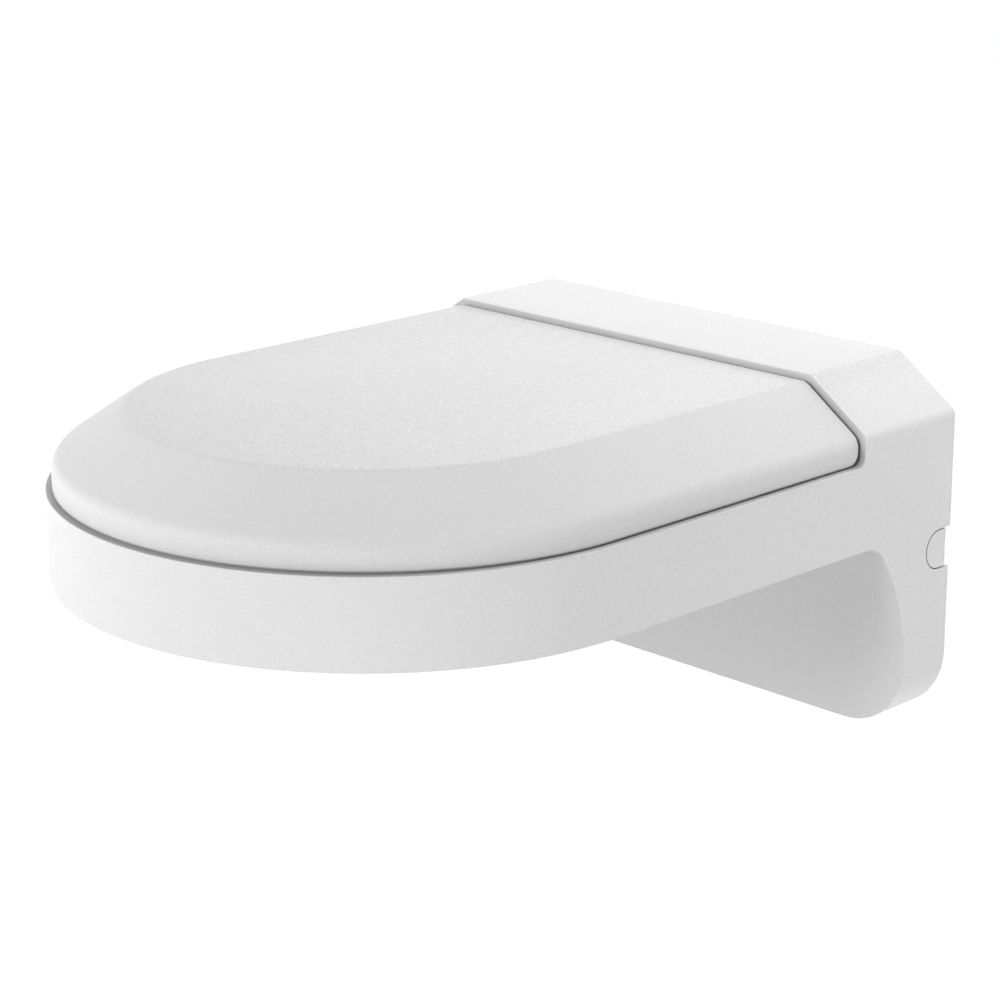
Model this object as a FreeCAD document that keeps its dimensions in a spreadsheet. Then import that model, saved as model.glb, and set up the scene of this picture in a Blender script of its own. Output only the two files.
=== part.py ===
import FreeCAD, Part
import math
import os
import Sketcher

# Wall bracket for a small dome camera: a moulded arm with a plate that goes down the wall,
# a cover over the arm's cable space, two plugs in the side cable notches, the cover's screws
# and the brass inserts that the camera is screwed to.
# Axes: X across the wall, -Y out from the wall, +Z up. The wall is the plane Y = 0.
# The origin is on the wall, in the middle of the four wall screws.
# Each body is drawn from the middle of its own top edge at the wall, and its Placement lifts it.

doc = FreeCAD.newDocument("camera_wall_bracket")
dims = doc.addObject("Spreadsheet::Sheet", "dims")

# Driving sizes in millimetres
SIZES = [
    ("width", 122.0, "overall width, and the diameter of the arm's round end"),
    ("reach", 95.45, "wall to the centre of the round end"),
    ("full_height", 73.0, "top of the wall box to the bottom of the plate"),
    ("box_depth", 27.8, "wall to the step where the cover begins"),
    ("chamfer_run", 13.8, "width of the long edge chamfers"),
    ("chamfer_drop", 9.65, "height of the long edge chamfers"),
    ("side_round", 2.2, "rounding between the chamfers and the sides"),
    ("rim_drop", 15.4, "box top to the rim that the cover sits on"),
    ("arm_drop", 32.3, "box top to the underside of the arm"),
    ("plate_thick", 13.4, "depth of the plate at its bottom"),
    ("plate_corner", 14.2, "bottom corner radius, and height of the plate's upright part"),
    ("cove_radius", 40.5, "hollow curve from the plate up to the arm"),
    ("under_fillet", 6.0, "end of that curve against the underside"),
    ("step_fillet", 2.0, "inside corner between the step and the rim"),
    ("wall", 3.2, "moulded wall of the bracket"),
    ("rib", 2.2, "moulded rib of the bracket"),
    ("tray_rib_height", 5.0, "ribs on the arm's floor"),
    ("gusset_drop", 21.0, "box top to the top of the main ribs at the wall"),
    ("cross_rib_drop", 55.5, "box top to the rib across the back"),
    ("cover_inset", 1.24, "cover inside the body's outline, and below the box top"),
    ("cover_gap", 0.3, "running gap between the cover and the step"),
    ("cover_wall", 1.9, "moulded wall of the cover"),
    ("cover_round", 3.2, "rounded long edges of the cover"),
    ("cover_edge", 0.5, "small bevel round the cover's lower and rear edges"),
    ("cover_rib", 1.4, "ribs under the cover"),
    ("cover_rib_height", 3.0, "height of the ribs under the cover"),
    ("lip_gap", 0.2, "locating lip inside the body's wall"),
    ("lip_wall", 1.4, "thickness of the cover's locating lip"),
    ("lip_reach", 2.6, "how far the lip goes down past the rim"),
    ("lip_root", 2.0, "height of the band that joins the lip to the skirt"),
    ("tongue_width", 14.0, "each tongue that holds the cover's rear end"),
    ("tongue_spread", 27.0, "middle line to each tongue's middle"),
    ("tongue_wall", 1.8, "thickness of the tongues"),
    ("tongue_reach", 4.6, "how far the tongues go under the box top"),
    ("tongue_root", 7.0, "length of each tongue's root under the cover"),
    ("tongue_gap", 0.2, "tongue to the underside of the box top"),
    ("wall_hole_spread", 84.0, "wall screw spacing across"),
    ("wall_hole_rise", 17.0, "wall screw spacing up the wall"),
    ("wall_hole_top", 9.0, "box top to the upper wall screws"),
    ("wall_hole", 5.2, "wall screw hole diameter"),
    ("wall_boss", 11.0, "raised seat round each wall screw hole"),
    ("wall_boss_height", 1.6, "height of that seat"),
    ("window_width", 38.0, "cable window in the back wall"),
    ("window_top", 8.0, "box top to the top of the window"),
    ("window_bottom", 27.5, "box top to the bottom of the window"),
    ("window_corner", 3.0, "corner radius of the window"),
    ("camera_circle", 90.0, "pitch circle of the camera's screws"),
    ("camera_boss", 10.0, "boss round each brass insert"),
    ("camera_boss_height", 8.6, "height of that boss above the floor"),
    ("insert_outside", 5.6, "brass insert diameter"),
    ("insert_bore", 3.3, "core diameter of the M4 thread"),
    ("insert_length", 8.0, "length of the insert"),
    ("insert_recess", 0.2, "insert above the underside"),
    ("insert_room", 1.0, "bore beyond the insert's end"),
    ("cable_hole", 32.0, "cable hole to the camera"),
    ("collar_wall", 2.6, "wall of the collar round the cable hole"),
    ("collar_height", 6.0, "height of that collar above the floor"),
    ("screw_inset", 21.0, "the cover's screws inside the arm's round end"),
    ("screw_angle", 22.0, "angle of the cover's screws from the middle line"),
    ("screw_shank", 2.9, "cover screw diameter"),
    ("screw_clearance", 3.4, "hole for that screw in the floor"),
    ("screw_head", 5.6, "screw head diameter"),
    ("screw_head_height", 2.1, "screw head height"),
    ("screw_head_bevel", 0.9, "bevel round the screw head"),
    ("screw_length", 16.0, "screw length under the head"),
    ("screw_tip", 1.6, "length of the screw's point"),
    ("screw_tip_width", 0.8, "width of the point's end"),
    ("screw_slot", 0.9, "width of the cross recess"),
    ("screw_slot_span", 3.2, "length of the cross recess"),
    ("screw_slot_depth", 1.3, "depth of the cross recess"),
    ("sink_width", 6.4, "recess round the screw head"),
    ("sink_depth", 4.6, "depth of that recess"),
    ("floor_post", 9.6, "post on the floor under each cover post"),
    ("floor_post_height", 6.4, "height of that post above the floor"),
    ("cover_post", 7.0, "post under the cover that takes the screw"),
    ("post_bore_room", 2.0, "bore beyond the screw's point"),
    ("notch_drop", 37.0, "box top to the middle of the side notch"),
    ("notch_radius", 4.0, "round end of the side notch"),
    ("notch_reach", 7.5, "depth of the side notch from the wall"),
    ("plug_gap", 0.15, "plug inside the notch"),
    ("plug_back", 1.3, "wall to the plug's rear edge"),
    ("tongue_slot", 1.0, "width of the groove for the plug's tongue"),
    ("tongue_slot_depth", 0.7, "depth of that groove"),
]
PAST = 1.0
for row, (name, size, note) in enumerate(SIZES, start=1):
    dims.set(f"A{row}", name)
    dims.set(f"B{row}", str(size))
    dims.set(f"C{row}", note)
    dims.setAlias(f"B{row}", name)
doc.recompute()

# Lines and planes that several pieces share, from the sheet
HALF = "dims.width / 2"
CENTRE = "-dims.reach"
SLOPE = "atan(dims.chamfer_drop / dims.chamfer_run)"
TOP_SHIFT = f"tan({SLOPE} / 2)"
SIDE_SHIFT = f"tan((90 deg - {SLOPE}) / 2)"
LIFT = "(dims.wall_hole_top + dims.wall_hole_rise / 2)"
FLOOR = "(-dims.arm_drop + dims.wall)"
PLATE_TURN = "(-dims.full_height + dims.plate_corner)"
COVE_Y = "(-dims.plate_thick - dims.cove_radius)"
FILLET_Z = "(-dims.arm_drop - dims.under_fillet)"
COVE_SPAN = "(dims.cove_radius - dims.under_fillet)"
FILLET_RISE = f"({FILLET_Z} - {PLATE_TURN})"
FILLET_OUT = f"sqrt({COVE_SPAN} * {COVE_SPAN} - {FILLET_RISE} * {FILLET_RISE})"
FILLET_Y = f"({COVE_Y} + {FILLET_OUT})"
NOTCH_Y = "(-dims.notch_reach + dims.notch_radius)"
CAMERA_STEP = "(dims.camera_circle / 2 * cos(45 deg))"
SCREW_REACH = f"({HALF} - dims.screw_inset)"
SCREW_X = f"({SCREW_REACH} * sin(dims.screw_angle * 1 deg))"
SCREW_Y = f"({CENTRE} - {SCREW_REACH} * cos(dims.screw_angle * 1 deg))"
SCREW_SEAT = "(-dims.arm_drop + dims.sink_depth)"
POST_TOP = f"({FLOOR} + dims.floor_post_height)"


def value(text):
    found = dims.evalExpression(text)
    return float(getattr(found, "Value", found))


def minus(text):
    return f"-({text})"


# Sketches, with every corner and arc centre bound to the sheet

def new_body(label):
    body = doc.addObject("PartDesign::Body", label)
    body.Label = label
    body.setExpression("Placement.Base.z", LIFT)
    return body


def new_sketch(body, name, plane, offset="0"):
    sketch = body.newObject("Sketcher::SketchObject", name)
    support = next(item for item in body.Origin.OriginFeatures if item.Role == plane)
    sketch.AttachmentSupport = [(support, "")]
    sketch.MapMode = "FlatFace"
    sketch.setExpression("AttachmentOffset.Base.z", offset)
    return sketch


def bind(sketch, kind, item, end, text):
    row = sketch.addConstraint(Sketcher.Constraint(kind, -1, 1, item, end, value(text)))
    sketch.setExpression(f"Constraints[{row}]", text)


def place_point(sketch, item, end, place):
    bind(sketch, "DistanceX", item, end, place[0])
    bind(sketch, "DistanceY", item, end, place[1])


def draw_loop(sketch, corners, arcs=None):
    # An arc is given by its first corner's number, its centre and the way it turns.
    arcs = arcs or {}
    points = [FreeCAD.Vector(value(x), value(y), 0) for x, y in corners]
    ends = []
    for index, start in enumerate(points):
        finish = points[(index + 1) % len(points)]
        if index not in arcs:
            item = sketch.addGeometry(Part.LineSegment(start, finish), False)
            ends.append((item, 1, 2))
            continue
        centre_text, turn = arcs[index]
        centre = FreeCAD.Vector(value(centre_text[0]), value(centre_text[1]), 0)
        first, last = (start, finish) if turn == "left" else (finish, start)
        angles = [math.atan2(point.y - centre.y, point.x - centre.x) for point in (first, last)]
        circle = Part.Circle(centre, FreeCAD.Vector(0, 0, 1), (start - centre).Length)
        item = sketch.addGeometry(Part.ArcOfCircle(circle, angles[0], angles[1]), False)
        ends.append((item, 1, 2) if turn == "left" else (item, 2, 1))
        along = finish - start
        if abs(along.x) > abs(along.y):
            bind(sketch, "DistanceY", item, 3, centre_text[1])
        else:
            bind(sketch, "DistanceX", item, 3, centre_text[0])
    for index, (item, start_end, finish_end) in enumerate(ends):
        following, following_start, _ = ends[(index + 1) % len(ends)]
        sketch.addConstraint(Sketcher.Constraint("Coincident", item, finish_end, following, following_start))
        place_point(sketch, item, start_end, corners[index])


def draw_circle(sketch, centre, diameter):
    middle = FreeCAD.Vector(value(centre[0]), value(centre[1]), 0)
    circle = Part.Circle(middle, FreeCAD.Vector(0, 0, 1), value(diameter) / 2)
    item = sketch.addGeometry(circle, False)
    place_point(sketch, item, 3, centre)
    row = sketch.addConstraint(Sketcher.Constraint("Diameter", item, value(diameter)))
    sketch.setExpression(f"Constraints[{row}]", diameter)


def outline_sketch(body, name, plane, corners, arcs=None, offset="0"):
    sketch = new_sketch(body, name, plane, offset)
    draw_loop(sketch, corners, arcs)
    return sketch


def circle_sketch(body, name, plane, centres, diameter, offset="0"):
    sketch = new_sketch(body, name, plane, offset)
    for centre in centres:
        draw_circle(sketch, centre, diameter)
    return sketch


# Features, each one checked for the volume that it adds or takes away

def finish_feature(body, feature, before, grows):
    body.Tip = feature
    doc.recompute()
    change = body.Shape.Volume - before
    if (change > 0) != grows or abs(change) < 1e-6:
        raise RuntimeError(f"{feature.Name} changed the volume by {change:.3f}")
    return feature


def extrude(body, name, sketch, length, adds=True, both_sides=False, reverse=False):
    doc.recompute()
    before = body.Shape.Volume if body.Tip and not body.Shape.isNull() else 0.0
    kind = "PartDesign::Pad" if adds else "PartDesign::Pocket"
    feature = body.newObject(kind, name)
    feature.Profile = sketch
    feature.setExpression("Length", length)
    feature.SideType = "Symmetric" if both_sides else "One side"
    feature.Reversed = reverse
    return finish_feature(body, feature, before, adds)


def cut(body, name, sketch, length, both_sides=False, reverse=False):
    return extrude(body, name, sketch, length, adds=False, both_sides=both_sides, reverse=reverse)


def revolve(body, name, sketch, angle=360, reverse=False):
    doc.recompute()
    before = body.Shape.Volume if body.Tip and not body.Shape.isNull() else 0.0
    feature = body.newObject("PartDesign::Revolution", name)
    feature.Profile = sketch
    feature.ReferenceAxis = (sketch, ["V_Axis"])
    feature.Angle = angle
    feature.Reversed = reverse
    return finish_feature(body, feature, before, True)


def mirror(body, name, feature, grows):
    before = body.Shape.Volume
    copy = body.newObject("PartDesign::Mirrored", name)
    copy.Originals = [feature]
    plane = next(item for item in body.Origin.OriginFeatures if item.Role == "YZ_Plane")
    copy.MirrorPlane = (plane, [""])
    return finish_feature(body, copy, before, grows)


def edge_names(body, choose):
    names = [f"Edge{number}" for number, edge in enumerate(body.Tip.Shape.Edges, start=1) if choose(edge)]
    if not names:
        raise RuntimeError(f"no edge found on {body.Label}")
    return names


def on_line(edge, axis_values):
    return all(abs(getattr(v, axis) - place) < 1e-4
               for v in edge.Vertexes for axis, place in axis_values.items())


def round_edges(body, name, radius, choose, grows=False):
    before = body.Shape.Volume
    chosen = (body.Tip, edge_names(body, choose))
    feature = body.newObject("PartDesign::Fillet", name)
    feature.Base = chosen
    feature.setExpression("Radius", radius)
    return finish_feature(body, feature, before, grows)


def bevel_edges(body, name, size, choose):
    before = body.Shape.Volume
    chosen = (body.Tip, edge_names(body, choose))
    feature = body.newObject("PartDesign::Chamfer", name)
    feature.Base = chosen
    feature.setExpression("Size", size)
    return finish_feature(body, feature, before, False)


def box_line(inset):
    # Front view of the wall box set in by a wall: side, lower chamfer corner and top corner.
    side = f"({HALF} - {inset})"
    low = f"(-dims.chamfer_drop - {inset} * {SIDE_SHIFT})"
    shoulder = f"({HALF} - dims.chamfer_run - {inset} * {TOP_SHIFT})"
    return side, low, shoulder, minus(inset)


def box_loop(inset, bottom):
    side, low, shoulder, top = box_line(inset)
    return [(minus(side), bottom), (minus(side), low), (minus(shoulder), top),
            (shoulder, top), (side, low), (side, bottom)]


def arm_loop(half, rear):
    # Plan of the arm: straight sides from the rear line, then half a circle.
    corners = [(half, rear), (half, CENTRE), (minus(half), CENTRE), (minus(half), rear)]
    return corners, {1: (("0", CENTRE), "right")}


def arm_band(outer, inner, rear):
    corners = [(outer, rear), (outer, CENTRE), (minus(outer), CENTRE), (minus(outer), rear),
               (minus(inner), rear), (minus(inner), CENTRE), (inner, CENTRE), (inner, rear)]
    return corners, {1: (("0", CENTRE), "right"), 5: (("0", CENTRE), "left")}


def cove_points(depth):
    # Side view of the hollow curve, set into the material by a depth, from the plate up.
    big = f"(dims.cove_radius + {depth})"
    low = (f"({COVE_Y} + {big})", PLATE_TURN)
    meet = (f"({COVE_Y} + {FILLET_OUT} * {big} / {COVE_SPAN})",
            f"({PLATE_TURN} + {FILLET_RISE} * {big} / {COVE_SPAN})")
    under = (FILLET_Y, f"(-dims.arm_drop + {depth})")
    return low, meet, under


def notch_loop(grow, rear):
    top = f"(-dims.notch_drop + dims.notch_radius + {grow})"
    bottom = f"(-dims.notch_drop - dims.notch_radius - {grow})"
    corners = [(rear, top), (NOTCH_Y, top), (NOTCH_Y, bottom), (rear, bottom)]
    return corners, {1: ((NOTCH_Y, "-dims.notch_drop"), "left")}


def ring_places(step_x, step_y, middle=CENTRE):
    return [(f"{sign_x} * {step_x}", f"{middle} + {sign_y} * {step_y}")
            for sign_x in (1, -1) for sign_y in (1, -1)]


def shell_of_bracket(body):
    # Wall box and plate in front view, with chamfered top and rounded bottom corners
    inner = f"({HALF} - dims.plate_corner)"
    bottom = "-dims.full_height"
    side, low, shoulder, top = box_line("0")
    corners = [(minus(side), low), (minus(shoulder), top), (shoulder, top), (side, low),
               (side, PLATE_TURN), (inner, bottom), (minus(inner), bottom), (minus(side), PLATE_TURN)]
    arcs = {4: ((inner, PLATE_TURN), "right"), 6: ((minus(inner), PLATE_TURN), "right")}
    sketch = outline_sketch(body, "plate_outline", "XZ_Plane", corners, arcs)
    extrude(body, "plate_block", sketch, "dims.box_depth")

    # Arm in plan, from the underside up to the rim
    corners, arcs = arm_loop(HALF, "0")
    sketch = outline_sketch(body, "arm_outline", "XY_Plane", corners, arcs, "-dims.arm_drop")
    extrude(body, "arm_block", sketch, "dims.arm_drop - dims.rim_drop")

    # Hollow curve under the arm
    low, meet, under = cove_points("0")
    front = f"-dims.box_depth - {PAST}"
    below = f"-dims.full_height - {PAST}"
    corners = [("-dims.plate_thick", below), low, meet, under, (front, "-dims.arm_drop"), (front, below)]
    arcs = {1: ((COVE_Y, PLATE_TURN), "left"), 2: ((FILLET_Y, FILLET_Z), "left")}
    sketch = outline_sketch(body, "cove_outline", "YZ_Plane", corners, arcs)
    cut(body, "cove", sketch, f"dims.width + {2 * PAST}", both_sides=True)

    step, rim = -value("dims.box_depth"), -value("dims.rim_drop")
    round_edges(body, "step_corner", "dims.step_fillet",
                lambda edge: on_line(edge, {"Y": step, "Z": rim}), grows=True)
    half, foot = value(HALF), -value("dims.chamfer_drop")
    round_edges(body, "side_edges", "dims.side_round",
                lambda edge: any(on_line(edge, {"X": place, "Z": foot}) for place in (half, -half)))


def hollow_bracket(body):
    inner_half = f"({HALF} - dims.wall)"

    # Tray in the arm, open at the top and into the wall box
    corners, arcs = arm_loop(inner_half, "-dims.wall")
    sketch = outline_sketch(body, "tray_outline", "XY_Plane", corners, arcs, FLOOR)
    cut(body, "tray", sketch, f"dims.arm_drop - dims.rim_drop - dims.wall + {PAST}", reverse=True)

    # Wall box, open towards the tray
    sketch = outline_sketch(body, "box_room_outline", "XZ_Plane", box_loop("dims.wall", FLOOR),
                            offset="dims.wall")
    cut(body, "box_room", sketch, f"dims.box_depth - dims.wall + {PAST}", reverse=True)

    # Back of the plate, open to the wall
    corner = "(dims.plate_corner - dims.wall)"
    inset = f"({inner_half} - {corner})"
    bottom = "(-dims.full_height + dims.wall)"
    corners = [(minus(inner_half), "-dims.arm_drop"), (inner_half, "-dims.arm_drop"),
               (inner_half, PLATE_TURN), (inset, bottom), (minus(inset), bottom),
               (minus(inner_half), PLATE_TURN)]
    arcs = {2: ((inset, PLATE_TURN), "right"), 4: ((minus(inset), PLATE_TURN), "right")}
    sketch = outline_sketch(body, "plate_room_outline", "XZ_Plane", corners, arcs)
    cut(body, "plate_room", sketch, "dims.plate_thick - dims.wall", reverse=True)

    # Room behind the hollow curve, joining the plate's back to the wall box
    low, meet, under = cove_points("dims.wall")
    corners = [("-dims.wall", PLATE_TURN), low, meet, under, ("-dims.wall", FLOOR)]
    arcs = {1: ((COVE_Y, PLATE_TURN), "left"), 2: ((FILLET_Y, FILLET_Z), "left")}
    sketch = outline_sketch(body, "cove_room_outline", "YZ_Plane", corners, arcs)
    cut(body, "cove_room", sketch, "dims.width - 2 * dims.wall", both_sides=True)


def rib_plate(body, name, offset, front, top_points):
    # An upright rib in side view, its outer edge in the middle of the moulded wall.
    low, meet, under = cove_points("dims.wall / 2")
    bottom = "(-dims.full_height + dims.wall / 2)"
    corners = [("0", bottom), (low[0], bottom), low, meet, under]
    arcs = {2: ((COVE_Y, PLATE_TURN), "left"), 3: ((FILLET_Y, FILLET_Z), "left")}
    if front:
        corners.append((front, "(-dims.arm_drop + dims.wall / 2)"))
    corners.extend(top_points)
    corners.append(("-dims.wall / 2", "-dims.arm_drop"))
    corners.append(("0", "-dims.arm_drop"))
    sketch = outline_sketch(body, f"{name}_outline", "YZ_Plane", corners, arcs, offset)
    rib = extrude(body, name, sketch, "dims.rib", both_sides=True)
    mirror(body, f"{name}_pair", rib, True)


def rib_bracket(body):
    # Main ribs, from behind the plate over the arm's floor to the front camera bosses
    rib_top = f"({FLOOR} + dims.tray_rib_height)"
    front = f"({CENTRE} - {CAMERA_STEP})"
    rib_plate(body, "main_rib", CAMERA_STEP, front,
              [(front, rib_top), ("-dims.box_depth", rib_top), ("-dims.wall / 2", "-dims.gusset_drop")])

    # Outer ribs, behind the plate only
    rib_plate(body, "outer_rib", f"({HALF} - dims.plate_corner)", None,
              [("-dims.wall / 2", f"({FLOOR} + dims.wall / 2)")])

    # Rib across the back of the plate
    side = f"({HALF} - dims.wall / 2)"
    inner = "(-dims.plate_thick + dims.wall / 2)"
    corners = [(minus(side), "0"), (side, "0"), (side, inner), (minus(side), inner)]
    sketch = outline_sketch(body, "cross_rib_outline", "XY_Plane", corners, None, "-dims.cross_rib_drop")
    extrude(body, "cross_rib", sketch, "dims.rib", both_sides=True)


def equip_floor(body):
    camera_places = ring_places(CAMERA_STEP, CAMERA_STEP)
    screw_places = [(SCREW_X, SCREW_Y), (minus(SCREW_X), SCREW_Y)]
    collar = "(dims.cable_hole + 2 * dims.collar_wall)"
    middle = "(-dims.arm_drop + dims.wall / 2)"

    # Spokes from the collar to the camera bosses, as two crossing bars
    half_rib = "(dims.rib / 2 * cos(45 deg))"
    outer = f"({CAMERA_STEP} + {half_rib})"
    inner = f"({CAMERA_STEP} - {half_rib})"
    for number, side in enumerate((1, -1), start=1):
        corners = [(f"{side} * {outer}", f"{CENTRE} + {inner}"),
                   (f"{side} * {inner}", f"{CENTRE} + {outer}"),
                   (f"{-side} * {outer}", f"{CENTRE} - {inner}"),
                   (f"{-side} * {inner}", f"{CENTRE} - {outer}")]
        sketch = outline_sketch(body, f"spoke_{number}_outline", "XY_Plane", corners, None, middle)
        extrude(body, f"spoke_{number}", sketch, "dims.tray_rib_height + dims.wall / 2")

    sketch = circle_sketch(body, "collar_outline", "XY_Plane", [("0", CENTRE)], collar, middle)
    extrude(body, "collar", sketch, "dims.collar_height + dims.wall / 2")
    sketch = circle_sketch(body, "camera_boss_outline", "XY_Plane", camera_places, "dims.camera_boss", middle)
    extrude(body, "camera_bosses", sketch, "dims.camera_boss_height + dims.wall / 2")
    sketch = circle_sketch(body, "floor_post_outline", "XY_Plane", screw_places, "dims.floor_post", middle)
    extrude(body, "floor_posts", sketch, "dims.floor_post_height + dims.wall / 2")

    # Holes from below: cable, inserts, and the cover's screws with their recesses
    below = f"-dims.arm_drop - {PAST}"
    sketch = circle_sketch(body, "cable_hole_outline", "XY_Plane", [("0", CENTRE)], "dims.cable_hole", below)
    cut(body, "cable_opening", sketch, f"dims.wall + dims.collar_height + {2 * PAST}", reverse=True)
    sketch = circle_sketch(body, "insert_hole_outline", "XY_Plane", camera_places,
                           "dims.insert_outside", below)
    cut(body, "insert_holes", sketch,
        f"dims.insert_recess + dims.insert_length + dims.insert_room + {PAST}", reverse=True)
    sketch = circle_sketch(body, "sink_outline", "XY_Plane", screw_places, "dims.sink_width", below)
    cut(body, "screw_sinks", sketch, f"dims.sink_depth + {PAST}", reverse=True)
    sketch = circle_sketch(body, "screw_hole_outline", "XY_Plane", screw_places,
                           "dims.screw_clearance", below)
    cut(body, "screw_holes", sketch, f"dims.wall + dims.floor_post_height + {2 * PAST}", reverse=True)


def equip_wall_side(body):
    rise = "dims.wall_hole_rise / 2"
    places = ring_places("dims.wall_hole_spread / 2", rise, f"-{LIFT}")

    # Raised seats inside the back wall, then the holes through both
    sketch = circle_sketch(body, "wall_boss_outline", "XZ_Plane", places, "dims.wall_boss", "dims.wall / 2")
    extrude(body, "wall_bosses", sketch, "dims.wall_boss_height + dims.wall / 2")
    sketch = circle_sketch(body, "wall_hole_outline", "XZ_Plane", places, "dims.wall_hole", f"-{PAST}")
    cut(body, "wall_holes", sketch, f"dims.wall + dims.wall_boss_height + {2 * PAST}", reverse=True)

    # Cable window with round corners
    side = "(dims.window_width / 2)"
    near = f"({side} - dims.window_corner)"
    top, bottom = "-dims.window_top", "-dims.window_bottom"
    high = "(-dims.window_top - dims.window_corner)"
    low = "(-dims.window_bottom + dims.window_corner)"
    corners = [(minus(side), high), (minus(near), top), (near, top), (side, high),
               (side, low), (near, bottom), (minus(near), bottom), (minus(side), low)]
    arcs = {0: ((minus(near), high), "right"), 2: ((near, high), "right"),
            4: ((near, low), "right"), 6: ((minus(near), low), "right")}
    sketch = outline_sketch(body, "window_outline", "XZ_Plane", corners, arcs, f"-{PAST}")
    cut(body, "cable_window", sketch, f"dims.wall + {2 * PAST}", reverse=True)

    # Side notches, cut through both sides and every upright rib, so that a cable can cross
    corners, arcs = notch_loop("0", str(PAST))
    sketch = outline_sketch(body, "notch_outline", "YZ_Plane", corners, arcs)
    cut(body, "side_notches", sketch, f"dims.width + {2 * PAST}", both_sides=True)

    # Groove in the middle of each notch's wall, for the plug's tongue
    corners, arcs = notch_loop("dims.tongue_slot_depth", str(PAST))
    sketch = outline_sketch(body, "groove_outline", "YZ_Plane", corners, arcs, f"({HALF} - dims.wall / 2)")
    groove = cut(body, "plug_groove", sketch, "dims.tongue_slot", both_sides=True)
    mirror(body, "plug_groove_pair", groove, False)


def make_bracket_body():
    body = new_body("bracket_body")
    shell_of_bracket(body)
    hollow_bracket(body)
    rib_bracket(body)
    equip_floor(body)
    equip_wall_side(body)
    return body


def cover_section():
    # Half of the cover's section: its skin from the middle of the top down to the rim,
    # the centres of the two rounded edges, and the inside from the rim back up.
    side, low, shoulder, top = box_line("dims.cover_inset")
    crown = f"(dims.cover_round * {TOP_SHIFT})"
    flank = f"(dims.cover_round * {SIDE_SHIFT})"
    skin = [("0", top), (f"({shoulder} - {crown})", top),
            (f"({shoulder} + {crown} * cos({SLOPE}))", f"({top} - {crown} * sin({SLOPE}))"),
            (f"({side} - {flank} * cos({SLOPE}))", f"({low} + {flank} * sin({SLOPE}))"),
            (side, f"({low} - {flank})"), (side, "-dims.rim_drop")]
    centres = {1: (f"({shoulder} - {crown})", f"({top} - dims.cover_round)"),
               3: (f"({side} - dims.cover_round)", f"({low} - {flank})")}
    side, low, shoulder, top = box_line("(dims.cover_inset + dims.cover_wall)")
    inside = [(side, "-dims.rim_drop"), (side, low), (shoulder, top), ("0", top)]
    return skin, centres, inside


def make_top_cover():
    body = new_body("top_cover")
    rear = "(-dims.box_depth - dims.cover_gap)"
    skin, centres, inside = cover_section()

    # Straight part behind the round end's centre, open below and towards the step
    right, within = skin[1:], inside[:-1]
    left = [(minus(x), z) for x, z in reversed(right)]
    corners = left + right + within + [(minus(x), z) for x, z in reversed(within)]
    arcs = {}
    for index, (x, z) in centres.items():
        arcs[len(left) - 1 - index] = ((minus(x), z), "right")
        arcs[len(left) - 1 + index] = ((x, z), "right")
    sketch = outline_sketch(body, "section", "XZ_Plane", corners, arcs, "dims.reach")
    extrude(body, "straight_part", sketch, f"dims.reach + {rear}", reverse=True)

    # Round end, the same section turned through half a circle
    arcs = {index: (centre, "right") for index, centre in centres.items()}
    sketch = outline_sketch(body, "round_section", "XZ_Plane", skin + inside, arcs, "dims.reach")
    revolve(body, "round_end", sketch, 180, reverse=True)

    # Lower rear corners that clear the step's fillet, then the small bevel of the outer edge
    back, rim = value(rear), -value("dims.rim_drop")
    round_edges(body, "rear_corners", "dims.step_fillet + 2 * dims.cover_gap",
                lambda edge: on_line(edge, {"Y": back, "Z": rim}))
    outline = [(value(x), value(z)) for x, z in skin]

    def on_skin(point):
        return any(abs(abs(point.X) - x) < 1e-4 and abs(point.Z - z) < 1e-4 for x, z in outline)

    bevel_edges(body, "small_edges", "dims.cover_edge",
                lambda edge: on_line(edge, {"Y": back}) and all(on_skin(point) for point in edge.Vertexes))
    fit_cover(body, rear)
    return body


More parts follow.
